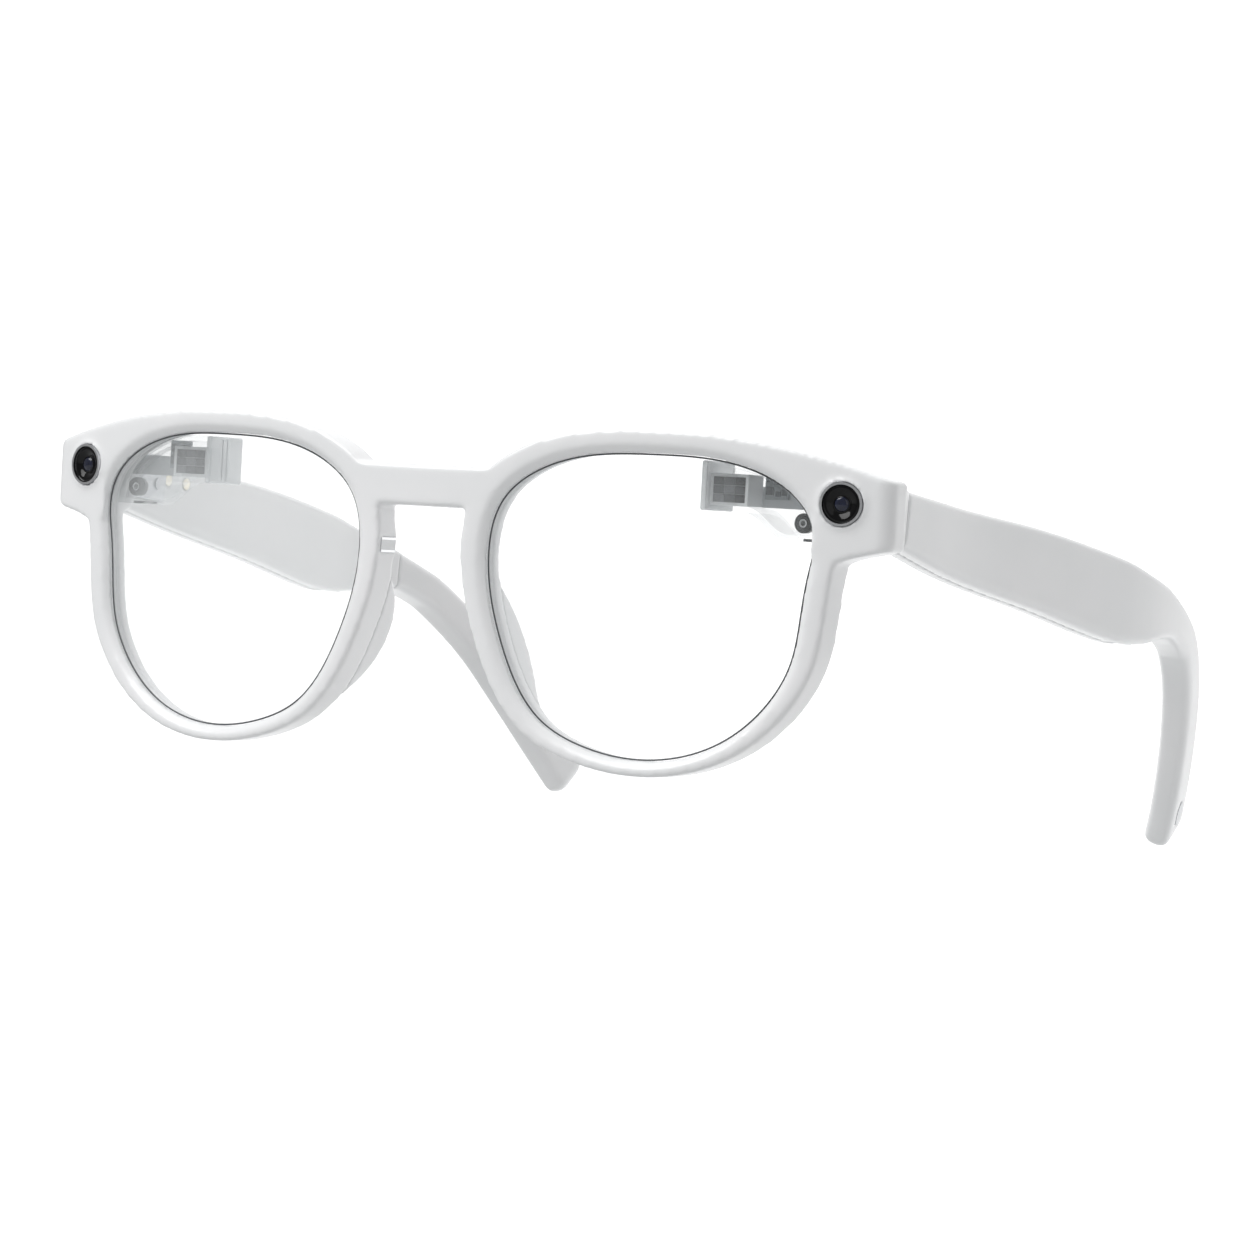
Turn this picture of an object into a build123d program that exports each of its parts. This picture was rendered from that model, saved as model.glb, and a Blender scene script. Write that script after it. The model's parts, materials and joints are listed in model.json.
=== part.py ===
from build123d import *
import math
import os

os.makedirs("parts", exist_ok=True)

# Axes: +X is the wearer's left, +Y runs back towards the ears, +Z is up.
# The origin is the middle of the bridge's front face, at the height of the two cameras.

# Front, mm and degrees
lens_width = 50.4
lens_height = 44.4
bridge_gap = 22.2            # between the two lens openings
lens_drop = 16.3             # from the camera line down to the lens centres
face_radius = 306.6          # the front is part of a tall cylinder
front_tilt = 5.2             # the front leans, its lower edge forward of square to the temples
rim_depth = 5.3
rim_side = 4.0
rim_top = 3.4
rim_bottom = 2.3
rim_bevel = 1.1              # round each opening, from the front face down to the lens
bridge_top = 2.6
bridge_bottom = -3.6
endpiece_width = 11.5        # from the lens opening out to the widest point
endpiece_depth = 8.0         # from the face curve back to the hinge seam
endpiece_low = -7.7
corner_round = 3.0
shelf_step = 2.4             # from the seam forward to where the front leaf is screwed
shelf_inset = 4.2            # from each camera in to that shelf's inner end

# Lenses
lens_thickness = 1.8
lens_set_back = 1.5
groove_depth = 0.6

# Nose pads
pad_top = -12.0
pad_bottom = -35.0
pad_depth = 10.2             # from the face curve back to the pad's crown
clip_top = -8.5
clip_height = 2.2
clip_thickness = 0.5
clip_proud = 0.12

# Cameras
camera_inset = 7.0           # from the widest point in to each camera
window_radius = 2.75
window_thickness = 0.8
ring_width = 0.4             # polished ring round the window
boss_width = 0.55            # of the raised rim round that ring
boss_proud = 0.35
barrel_step = 0.45           # from the window's radius in to the barrel's
barrel_length = 3.0
camera_lens_radius = 1.25
camera_board_side = 3.9
camera_board_thickness = 0.8
pocket_room = 0.6            # behind the camera board

# Display housings, seated behind the lenses
housing_length = 18.8
housing_top = 5.3
housing_low = -5.6
housing_nose_low = -1.9
housing_front = 7.3
housing_back = 15.9
housing_wall = 0.8
end_cap_thickness = 0.9
engine_width = 6.2
engine_height = 4.6
engine_depth = 4.6
board_thickness = 0.8
board_back = 13.2            # rear of the display board, behind the origin
tray_depth = 0.6
tray_height = 3.0
sensor_radius = 1.45
sensor_length = 1.3
port_length = 2.2
port_width = 1.5
port_thickness = 0.4

# Temples
temple_length = 134.6        # from the seam back to the rear of the ear hook
temple_thickness = 5.8
temple_inset = 1.3           # from the widest point in to the temple's outer face
hook_thickness = 4.4
temple_top = 4.15
temple_root_low = -4.3
temple_root_run = 14.0       # straight run behind the seam, which holds the hinge
temple_ease = 20.0           # run over which the temple then turns outwards
temple_splay = 6.05
temple_curve_radius = 87.0   # plan curve that brings the ear hook in
temple_curve_run = 66.2      # rear part of the temple that follows that curve
hook_width = 8.4
hook_slope_room = 2.6        # from the tip's middle down to its lowest corner
hook_round = 1.8
section_spacing = 3.2        # between the sections that a temple is lofted through
seam_gap = 0.3
shell_wall = 1.2
split_gap = 0.1
split_from_rear = 45.7       # where the inner shell ends
cavity_start = 9.0           # solid run behind the seam
temple_round = 1.2

# Hinges
pin_radius = 0.6
pin_clearance = 0.05
knuckle_radius = 1.5
knuckle_gap = 0.1
knuckle_room = 0.35
hinge_height = 6.4
middle_knuckle = 2.2
leaf_thickness = 0.9
leaf_length = 8.0
hinge_inset = 0.3
screw_radius = 0.5
screw_head_radius = 0.95
screw_head_height = 0.23
screw_seat = 0.02            # under each screw head
front_screw_length = 2.4
front_screw_place = 1.6      # from the shelf's inner end out to its screws
leaf_inset = -0.1            # the leaf stands this far to the inner side of the hinge line

# Controls and contacts
button_length = 10.0
button_width = 2.6
button_place = 15.0          # from the seam back to the button's middle
button_travel = 0.5
button_proud = 0.6
button_foot = 1.5            # from the temple's top down to the button's foot
dome_thickness = 0.4
control_clearance = 0.15
switch_length = 3.0
switch_height = 1.6
switch_travel = 2.0
switch_place = 19.0          # from the seam back to the switch's middle
contact_radius = 0.9
contact_spacing = 5.0
contact_place = 14.5         # from the seam back to the middle of the two contacts
contact_height = 0.9

# What the temples hold
battery_length = 18.0
board_length = 32.0
inner_clearance = 0.25
wire_radius = 0.7
badge_length = 5.0
badge_width = 2.4
badge_thickness = 0.4
badge_proud = 0.05
badge_rise = 5.5             # from the tip up to the badge's middle
grille_length = 8.0
grille_width = 2.0
grille_thickness = 0.5
grille_holes = 5
grille_pitch = 1.3
grille_hole_radius = 0.35
grille_from_rear = 63.5
wire_end_inset = 6.0         # from the tip up to the end of the wire
switch_proud = 0.25

fit = 0.05                   # clearance between pieces that seat in each other


# Worked-out places
lens_x = bridge_gap / 2 + lens_width / 2
half_width = bridge_gap / 2 + lens_width + endpiece_width
camera_x = half_width - camera_inset
ring_radius = window_radius + ring_width
boss_radius = ring_radius + boss_width
barrel_radius = window_radius - barrel_step


def face_y(x):
    return face_radius - math.sqrt(face_radius**2 - x**2)


seam_y = face_y(half_width) + endpiece_depth
temple_face_x = half_width - temple_inset
inner_face_x = temple_face_x - temple_thickness
hinge_x = inner_face_x - hinge_inset
hinge_y = seam_y + seam_gap / 2
hinge_z = (temple_top + temple_root_low) / 2
shelf_y = seam_y - shelf_step
shelf_x = camera_x - shelf_inset
front_screw_x = shelf_x + front_screw_place
leaf_start = seam_y + seam_gap + knuckle_radius + 1.0
tilt = Rot(front_tilt, 0, 0)
ground = (
    Vector(lens_x, face_y(lens_x), -lens_drop - lens_height / 2 - rim_bottom)
    .rotate(Axis.X, front_tilt).Z
)


def along_x(outline, start, end):
    return extrude(Plane.YZ.offset(start) * outline, amount=end - start)


def along_y(outline, start, end):
    return extrude(Plane.XZ.offset(-start) * outline, amount=start - end)


def along_z(outline, start, end):
    return extrude(Pos(0, 0, start) * outline, amount=end - start)


def post(radius, start, end):
    """A round post along Y."""
    return Rot(-90, 0, 0) * Pos(0, 0, start) * Cylinder(
        radius, end - start, align=(Align.CENTER, Align.CENTER, Align.MIN))


def pin(radius, start, end):
    """A round post along Z."""
    return Pos(0, 0, start) * Cylinder(
        radius, end - start, align=(Align.CENTER, Align.CENTER, Align.MIN))


def face_shell(front, back):
    """The space between two depths behind the face curve."""
    shell = Cylinder(face_radius - front, 200) - Cylinder(face_radius - back, 200)
    return Pos(0, face_radius, 0) * shell


def lens_outline(side=0.0, top=None, bottom=None):
    """The lens opening's outline, widened by the given amounts."""
    top = side if top is None else top
    bottom = side if bottom is None else bottom
    shape = [
        (1.00, 0.33), (0.91, 0.74), (0.68, 0.905), (0.03, 1.00), (-0.64, 0.885),
        (-0.93, 0.63), (-1.00, 0.24), (-0.89, -0.29), (-0.60, -0.79),
        (-0.31, -0.945), (0.07, -1.0), (0.60, -0.80), (0.90, -0.37),
    ]
    half_x = lens_width / 2 + side
    half_z = (lens_height + top + bottom) / 2
    middle_z = (top - bottom) / 2 - lens_drop
    points = [(lens_x + u * half_x, middle_z + v * half_z) for u, v in shape]
    return make_face(Spline(*points, periodic=True))


def endpiece_outline():
    brow_x = lens_x + 10.0
    brow_z = lens_height / 2 + rim_top - lens_drop
    edge = Spline((brow_x, brow_z - 0.3), (lens_x + 24, brow_z - 2.3), (half_width + 1, brow_z - 6.2))
    rest = Polyline(
        (half_width + 1, brow_z - 6.2), (half_width + 1, endpiece_low + 1.6),
        (camera_x + 1.5, endpiece_low), (camera_x - 2.5, endpiece_low - 1.6),
        (camera_x - 5.5, 1.0), (brow_x, brow_z - 1.5), (brow_x, brow_z - 0.3))
    return make_face([edge, rest])


def front_outline():
    lobe = lens_outline(rim_side, rim_top, rim_bottom)
    right_half = lobe + endpiece_outline()
    bar = Pos(0, (bridge_top + bridge_bottom) / 2) * Rectangle(
        bridge_gap, bridge_top - bridge_bottom)
    return right_half + mirror(right_half, Plane.YZ) + bar


def left_reach():
    """Everything on the left inside the widest point, with the rounded outer corner."""
    corner_x = half_width - corner_round
    corner_y = face_y(half_width) + corner_round
    corner = RadiusArc((corner_x, face_y(corner_x)), (half_width, corner_y), -corner_round)
    rest = Polyline(
        (half_width, corner_y), (half_width, 40), (-1, 40), (-1, -5), (corner_x, -5),
        (corner_x, face_y(corner_x)))
    return along_z(make_face([corner, rest]), -60, 30)


def endpiece():
    plan = make_face(Polyline(
        (shelf_x, -3), (half_width, -3), (half_width, seam_y - 5), (temple_face_x, seam_y),
        (inner_face_x, seam_y), (inner_face_x, shelf_y), (shelf_x, shelf_y), (shelf_x, -3)))
    side = make_face(Polyline(
        (-3, temple_top + 4), (seam_y - 7, temple_top + 1.2), (seam_y, temple_top),
        (seam_y, temple_root_low), (seam_y - 6, endpiece_low + 1.0), (-3, endpiece_low - 2),
        (-3, temple_top + 4)))
    block = along_z(plan, -20, 20) & along_x(side, 0, half_width + 5)
    reach = along_y(endpiece_outline() + lens_outline(rim_side, rim_top, rim_bottom), -5, 40)
    reach &= Pos(0, face_radius, 0) * Cylinder(face_radius, 200)
    reach &= left_reach()
    return block & (tilt * reach)


def camera_spot():
    """The camera's place on the face, with +Y running straight in."""
    turn = math.degrees(math.asin(camera_x / face_radius))
    return tilt * Pos(camera_x, face_y(camera_x), 0) * Rot(0, 0, turn)


def hinge_post(radius, low, high):
    return Pos(hinge_x, hinge_y, hinge_z) * pin(radius, low, high)


pocket_depth = window_thickness + barrel_length + camera_board_thickness + pocket_room
pad_front = rim_depth + fit
knuckle_half = hinge_height / 2
leaf_screws = [-knuckle_half + 1.3, knuckle_half - 1.3]


def front_half_cuts():
    """What is taken out of the left half of the front."""
    cuts = [tilt * along_y(lens_outline(), -5, 25)]
    groove = face_shell(lens_set_back - fit, lens_set_back + lens_thickness + fit)
    cuts.append(tilt * (along_y(lens_outline(groove_depth), -5, 25) & groove))
    cuts.append(camera_spot() * post(ring_radius + fit, -2, window_thickness))
    pocket_radius = max(barrel_radius, camera_board_side / math.sqrt(2)) + fit
    cuts.append(camera_spot() * post(pocket_radius, 0, pocket_depth))
    cuts.append(hinge_post(knuckle_radius + knuckle_room, -knuckle_half - 0.3, knuckle_half + 0.3))
    for z in leaf_screws:
        cuts.append(Pos(front_screw_x, shelf_y, hinge_z + z) * post(screw_radius + fit, -front_screw_length, 1))
    cuts.append(tilt * clip_band(clip_height + 2 * fit, clip_thickness + fit))
    return cuts


def clip_band(height, thickness):
    """A band across the nose side of the rim."""
    ring = lens_outline(rim_side + clip_proud) - lens_outline(rim_side - thickness)
    window = Pos(bridge_gap / 2 - rim_side, clip_top - clip_height / 2) * Rectangle(12, height)
    return along_y(ring & window, -1, 12) & face_shell(1.0, rim_depth - 0.6)


def depth_behind_face(point):
    return face_radius - math.hypot(point.X, point.Y - face_radius)


def rim():
    """The rims and the bridge, bevelled round each opening on the front."""
    opening = along_y(lens_outline(), -5, 25)
    slab = along_y(front_outline(), -3, 25) & face_shell(0, rim_depth)
    slab &= left_reach() + mirror(left_reach(), Plane.YZ)
    slab = slab - opening - mirror(opening, Plane.YZ)
    loops = [e for e in slab.edges() if e.is_closed and depth_behind_face(e @ 0) < fit]
    return tilt * chamfer(loops, rim_bevel)


def front_frame():
    boss = camera_spot() * post(boss_radius, -boss_proud, 2)
    boss = chamfer(boss.edges().group_by(Axis.Y)[0], boss_proud * 0.6)
    left = endpiece() + boss
    frame = rim() + left + mirror(left, Plane.YZ)
    for cut in front_half_cuts():
        frame = frame - cut - mirror(cut, Plane.YZ)
    return frame


def lens():
    space = face_shell(lens_set_back, lens_set_back + lens_thickness)
    return tilt * (along_y(lens_outline(groove_depth - fit), -5, 25) & space)


def nose_pad():
    ring = lens_outline(rim_side - 0.1, rim_top, rim_bottom - 0.1) - lens_outline(0.2)
    height = pad_top - pad_bottom
    middle = (pad_top + pad_bottom) / 2
    window = Pos(bridge_gap / 2, middle) * Rectangle(24, height)
    crown = ThreePointArc((0, pad_top), (pad_depth, middle), (0, pad_bottom))
    side = make_face([crown, Line((0, pad_bottom), (0, pad_top))])
    solid = along_y(ring & window, -1, 20) & along_x(side, -5, lens_x)
    return tilt * (solid & face_shell(pad_front, 30))


def camera_pieces(place):
    depth = window_thickness
    ring = post(ring_radius, -boss_proud - 0.1, depth - fit) - post(window_radius + fit, -2, 2)
    window = post(window_radius, -boss_proud + 0.1, depth - fit)
    barrel = post(barrel_radius, depth, depth + barrel_length)
    barrel -= post(camera_lens_radius + fit, depth - 1, depth + 1.2)
    eye = post(camera_lens_radius, depth + 0.2, depth + 1.15)
    side = camera_board_side
    start = depth + barrel_length + fit
    board = Pos(0, start + camera_board_thickness / 2, 0) * Box(side, camera_board_thickness, side)
    return {
        "camera_ring": place * ring, "camera_window": place * window,
        "camera_barrel": place * barrel, "camera_lens": place * eye, "camera_board": place * board,
    }


housing_end = shelf_x - fit
housing_start = housing_end - housing_length


def housing_outline(inset):
    low = housing_low + inset
    nose_low = housing_nose_low + inset
    top = housing_top - inset
    flat = housing_end - 5.2
    curve = Spline(
        (flat - 6.5, nose_low), (flat - 3.2, (low + nose_low) / 2), (flat, low),
        tangents=[(1, -0.15), (1, -0.15)])
    edges = Polyline(
        (flat, low), (housing_end, low), (housing_end, top), (housing_start, top),
        (housing_start, nose_low), (flat - 6.5, nose_low))
    return make_face([curve, edges])


def rim_keepout(clearance):
    area = Pos(lens_x + 10, 0) * Rectangle(50, 60) - lens_outline(-clearance)
    return along_y(area, -5, 25) & face_shell(-5, rim_depth + clearance)


def port_spots():
    return [housing_front + 4.6, housing_front + 7.4]


def sensor_ports():
    port = extrude(SlotOverall(port_length, port_width), port_thickness)
    return [tilt * Pos(housing_end - 2.8, y, housing_low) * port for y in port_spots()]


def housing_space(inset):
    """The housing's own shape, or the space inside it, clear of the rim and the lens."""
    space = along_y(housing_outline(inset), housing_front + inset, housing_back - inset)
    space -= rim_keepout(2 * fit + inset)
    return space - face_shell(-5, lens_set_back + lens_thickness + 2 * fit + inset)


def display_pieces():
    wall = housing_wall
    shell = housing_space(0)
    hollow = housing_space(wall)
    cap_end = housing_start + end_cap_thickness
    cap_slab = Pos(housing_start + end_cap_thickness / 2, 10, 0) * Box(end_cap_thickness, 40, 40)
    cap = shell & cap_slab
    shell = shell - cap_slab - hollow
    for y in port_spots():
        shell -= Pos(housing_end - 2.8, y, housing_low - 1) * extrude(
            SlotOverall(port_length + 2 * fit, port_width + 2 * fit), port_thickness + fit + 1)
    inside = housing_space(wall + fit)
    room = inner_clearance
    engine_x = cap_end + room
    board_x = engine_x + engine_width + room
    shelf = housing_nose_low + wall + fit
    corner = (Align.MIN, Align.MIN, Align.MIN)
    engine = Pos(engine_x, 0, shelf) * Box(
        engine_width, housing_front + wall + engine_depth, engine_height, align=corner)
    board = Pos(board_x, 0, shelf + 1.2) * Box(30, board_back, 5, align=corner)
    board -= face_shell(-5, board_back - board_thickness - face_y(board_x))
    tray = Pos(engine_x, board_back + fit, shelf) * Box(30, tray_depth, tray_height, align=corner)
    sensor_x = housing_end - 3.2
    sensor_front = face_y(sensor_x) + lens_set_back + lens_thickness + wall + 4 * fit
    sensor = Pos(sensor_x, 0, -3.0) * post(sensor_radius, sensor_front, sensor_front + sensor_length)
    pieces = {
        "display_housing": shell, "display_end_cap": cap, "display_engine": engine & inside,
        "display_board": board & inside, "display_tray": tray & inside,
        "eye_sensor": sensor & inside,
    }
    return {name: tilt * piece for name, piece in pieces.items()}


def outer_x(along):
    """How far out the temple's outer face stands, so far back from the seam."""
    run = max(0.0, along - temple_root_run)
    turned = min(run, temple_ease)
    outwards = turned**2 / (2 * temple_ease) + run - turned
    bend = max(0.0, along - (temple_length - temple_curve_run))
    splay = outwards * math.tan(math.radians(temple_splay))
    return temple_face_x + splay - bend**2 / (2 * temple_curve_radius)


def temple_stations():
    """Distance back from the seam, middle height and section height down the temple."""
    tail = temple_length
    middle = hinge_z
    root = temple_top - temple_root_low
    return [
        (seam_gap, middle, root), (tail - 114.5, middle - 1.4, root + 2.2),
        (tail - 90.5, middle - 2.5, root + 3.9), (tail - 66.5, middle - 4.4, root + 4.6),
        (tail - 58.5, middle - 4.7, root + 2.8), (tail - 51.5, middle - 4.5, root + 0.2),
        (tail - 45.5, middle - 5.1, root - 1.9), (tail - 39.5, middle - 6.5, root - 2.5),
        (tail - 33.9, middle - 8.4, root - 2.5), (tail - 23.8, middle - 14.9, hook_width - 2.1),
        (tail - 15.7, middle - 23.0, hook_width - 1.8), (tail - 8.1, middle - 31.5, hook_width - 1.0),
        (tail - 2.6, ground + hook_slope_room, hook_width),
    ]


def smooth(places, values, place):
    """A smooth curve through the given values, each slope taken from its neighbours."""
    last = len(places) - 1
    slopes = []
    for i in range(last + 1):
        low, high = max(0, i - 1), min(last, i + 1)
        slopes.append((values[high] - values[low]) / (places[high] - places[low]))
    i = max([0] + [k for k in range(last) if places[k] <= place])
    span = places[i + 1] - places[i]
    t = (place - places[i]) / span
    rise = values[i] * (1 + 2 * t) * (1 - t)**2 + values[i + 1] * t**2 * (3 - 2 * t)
    return rise + span * t * (1 - t) * (slopes[i] * (1 - t) - slopes[i + 1] * t)


stations = temple_stations()
station_places = [0.0]
for before, after in zip(stations, stations[1:]):
    step = math.hypot(after[0] - before[0], after[1] - before[1])
    station_places.append(station_places[-1] + step)
temple_run = station_places[-1]


def temple_point(place):
    """The middle of the temple so far down its run, with its thickness and height."""
    along, z, height = (
        smooth(station_places, [row[k] for row in stations], place) for k in range(3))
    ease = min(1.0, max(0.0, along / temple_length - 0.7) / 0.25)
    thick = temple_thickness + (hook_thickness - temple_thickness) * ease
    x = outer_x(along) - thick / 2
    return Vector(x, seam_y + along, z), thick, height


def temple_frame(place):
    """A plane across the temple: its X points inwards and its normal runs down the temple."""
    middle, thick, height = temple_point(place)
    ahead = temple_point(min(temple_run, place + 0.05))[0]
    behind = temple_point(max(0.0, place - 0.05))[0]
    heading = ahead - behind
    across = Vector(0, -heading.Z, heading.Y).cross(heading)
    return Plane(origin=middle, x_dir=across, z_dir=heading), thick, height


def temple_section(place, inset):
    frame, thick, height = temple_frame(place)
    left_to_tip = temple_run - place
    if left_to_tip < hook_round:
        inset += hook_round - math.sqrt(hook_round**2 - (hook_round - left_to_tip)**2)
    wide, tall = thick - 2 * inset, height - 2 * inset
    return frame * RectangleRounded(wide, tall, min(temple_round, wide / 2.2))


def spaced(start, end):
    count = max(2, round((end - start) / section_spacing))
    return [start + (end - start) * i / count for i in range(count + 1)]


def temple_skin():
    """The whole temple, square at the seam and domed at the tip."""
    places = [p for p in spaced(0, temple_run) if p < temple_run - hook_round - 0.5]
    places += [temple_run - hook_round * share for share in (1, 0.6, 0.3, 0.1, 0)]
    skin = loft([temple_section(p, 0) for p in places], ruled=True)
    return skin - Pos(temple_face_x, seam_y + seam_gap, 0) * Box(
        40, 10, 60, align=(Align.CENTER, Align.MAX, Align.CENTER))


def temple_space(inset, start, end):
    return loft([temple_section(p, inset) for p in spaced(start, end)], ruled=True)


def plan_sheet(start, end, outside, inside):
    """An upright sheet that follows the temple in plan, offset inwards from its middle line."""
    steps = [start + (end - start) * i / 16 for i in range(17)]
    middle = [outer_x(along) - temple_thickness / 2 for along in steps]
    near = [(x - outside, seam_y + along) for x, along in zip(middle, steps)]
    far = [(x - inside, seam_y + along) for x, along in zip(middle, steps)]
    outline = make_face(Polyline(*near, *reversed(far), near[0]))
    return along_z(outline, ground - 5, temple_top + 5)


cavity_end = station_places[5] - 1.0
split_end = temple_length - split_from_rear
wire_start = station_places[7]
wire_end = temple_run - wire_end_inset
grille_place = temple_length - grille_from_rear


def tip_wire(radius):
    """The metal wire that stiffens the ear hook."""
    circles = [temple_frame(p)[0] * Circle(radius) for p in spaced(wire_start, wire_end)]
    return loft(circles, ruled=True)


def badge(grow, thickness):
    frame, thick, height = temple_frame(temple_run - badge_rise)
    skin = Plane(
        origin=frame.origin - frame.x_dir * (thick / 2 + badge_proud),
        x_dir=frame.z_dir, z_dir=frame.x_dir)
    return extrude(skin * Ellipse(badge_length / 2 + grow, badge_width / 2 + grow), thickness)


def hinge_cuts():
    """What the hinge takes out of a temple."""
    half = knuckle_half + knuckle_room
    depth = 2 + leaf_inset + leaf_thickness + fit
    corner = (Align.MIN, Align.MIN, Align.CENTER)
    bed = Pos(hinge_x - 2, leaf_start - fit, hinge_z) * Box(
        depth, leaf_length + 2 * fit, hinge_height - 1 + 2 * fit, align=corner)
    slot = Pos(hinge_x - 2, hinge_y, hinge_z) * Box(
        depth, leaf_start - hinge_y, middle_knuckle + 2 * fit, align=corner)
    cuts = [hinge_post(knuckle_radius + knuckle_room, -half, half), bed, slot]
    for y in temple_screw_spots():
        cuts.append(Pos(hinge_x, y, hinge_z) * Rot(0, 90, 0) * pin(
            screw_radius + fit, 0, leaf_thickness + 1.1))
    return cuts


def temple_screw_spots():
    return [leaf_start + 2.0, leaf_start + leaf_length - 2.0]


def temple_leaf():
    half = middle_knuckle / 2
    corner = (Align.MIN, Align.MIN, Align.CENTER)
    base = Pos(hinge_x + leaf_inset, 0, hinge_z)
    leaf = base * Pos(0, leaf_start, 0) * Box(
        leaf_thickness, leaf_length, hinge_height - 1, align=corner)
    leaf += base * Pos(0, hinge_y, 0) * Box(
        leaf_thickness, leaf_start - hinge_y + 1, middle_knuckle, align=corner)
    leaf += hinge_post(knuckle_radius, -half, half)
    leaf -= hinge_post(pin_radius + pin_clearance, -half - 1, half + 1)
    for y in temple_screw_spots():
        leaf -= Pos(hinge_x - 2, y, hinge_z) * Rot(0, 90, 0) * pin(screw_radius + fit, 0, 6)
    return leaf


def temple_screws():
    screws = []
    for y in temple_screw_spots():
        spot = Pos(hinge_x + leaf_inset, y, hinge_z) * Rot(0, 90, 0)
        top = -screw_seat - screw_head_height
        screws.append(spot * (pin(screw_radius, top, leaf_thickness + 0.9)
                              + pin(screw_head_radius, top, -screw_seat)))
    return screws


def front_leaf():
    outer = knuckle_half
    inner = middle_knuckle / 2 + knuckle_gap
    low_corner = (Align.MIN, Align.MIN, Align.MIN)
    leaf = Pos(shelf_x + 0.1, shelf_y + fit, hinge_z - outer) * Box(
        inner_face_x - fit - shelf_x - 0.1, leaf_thickness, hinge_height, align=low_corner)
    for low, high in ((inner, outer), (-outer, -inner)):
        leaf += Pos(hinge_x - 1.2, shelf_y + fit, hinge_z + low) * Box(
            1.4, hinge_y - shelf_y, high - low, align=low_corner)
        leaf += hinge_post(knuckle_radius, low, high)
    leaf -= hinge_post(knuckle_radius + knuckle_room, -inner, inner)
    leaf -= hinge_post(pin_radius + fit / 2, -outer - 1, outer + 1)
    for z in leaf_screws:
        leaf -= Pos(front_screw_x, shelf_y, hinge_z + z) * post(screw_radius + fit, -1, 2)
    return leaf


def front_screws():
    screws = []
    for z in leaf_screws:
        spot = Pos(front_screw_x, shelf_y + fit + leaf_thickness, hinge_z + z)
        top = screw_seat + screw_head_height
        screws.append(spot * (post(screw_radius, -front_screw_length, top)
                              + post(screw_head_radius, screw_seat, top)))
    return screws


def hinge_pin():
    top = knuckle_half
    return hinge_post(pin_radius, -top, top + 0.3) + hinge_post(1.1, top + 0.02, top + 0.3)


def button_spot():
    return Pos(outer_x(button_place) - temple_thickness / 2, seam_y + button_place, temple_top)


def button():
    cap = Pos(0, 0, -0.7) * extrude(SlotOverall(button_length, button_width), button_proud + 0.7)
    foot = Pos(0, 0, -button_foot) * extrude(
        SlotOverall(button_length - 3, button_width - 1.2), button_foot - 0.6)
    return button_spot() * Rot(0, 0, 90) * (cap + foot)


def button_well():
    room = control_clearance
    low = button_foot + button_travel + dome_thickness + 2 * control_clearance
    well = extrude(SlotOverall(button_length + 2 * room, button_width + 2 * room), low + 2)
    return button_spot() * Rot(0, 0, 90) * Pos(0, 0, -low) * well


def button_dome():
    low = button_foot + button_travel + dome_thickness + control_clearance
    corner = (Align.CENTER, Align.CENTER, Align.MIN)
    return button_spot() * Pos(0, 0, -low) * Box(2.4, 6.0, dome_thickness, align=corner)


def switch_spot():
    along = switch_place
    return Pos(outer_x(along) - temple_thickness, seam_y + along, -0.6)


def switch():
    corner = (Align.MIN, Align.CENTER, Align.CENTER)
    grip = Pos(-switch_proud, 0, 0) * Box(
        switch_proud + shell_wall - 0.1, switch_length, switch_height, align=corner)
    return switch_spot() * grip


def switch_slot():
    room = control_clearance
    corner = (Align.MIN, Align.MIN, Align.CENTER)
    return switch_spot() * Pos(-1, -switch_length / 2 - room, 0) * Box(
        1 + shell_wall + 0.2, switch_length + switch_travel + 2 * room,
        switch_height + 2 * room, align=corner)


def contacts(grow):
    pieces = []
    for shift in (-contact_spacing / 2, contact_spacing / 2):
        along = contact_place + shift
        spot = Pos(outer_x(along) - temple_thickness, seam_y + along, contact_height)
        pieces.append(spot * Rot(0, 90, 0) * pin(contact_radius + grow, -0.1, shell_wall - 0.3))
    return pieces


def grille_frame():
    frame, thick, height = temple_frame(grille_place)
    return Pos(frame.origin.X, frame.origin.Y, frame.origin.Z - height / 2)


def speaker_grille():
    plate = extrude(SlotOverall(grille_length, grille_width), grille_thickness)
    for i in range(grille_holes):
        across = (i - (grille_holes - 1) / 2) * grille_pitch
        plate -= Pos(across, 0, -1) * Cylinder(grille_hole_radius, 6)
    return grille_frame() * Pos(0, 0, 0.3) * Rot(0, 0, 90) * plate


def grille_slot():
    slot = extrude(SlotOverall(grille_length + 2 * fit, grille_width + 2 * fit), 3.0)
    return grille_frame() * Pos(0, 0, -1.5) * Rot(0, 0, 90) * slot


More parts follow.
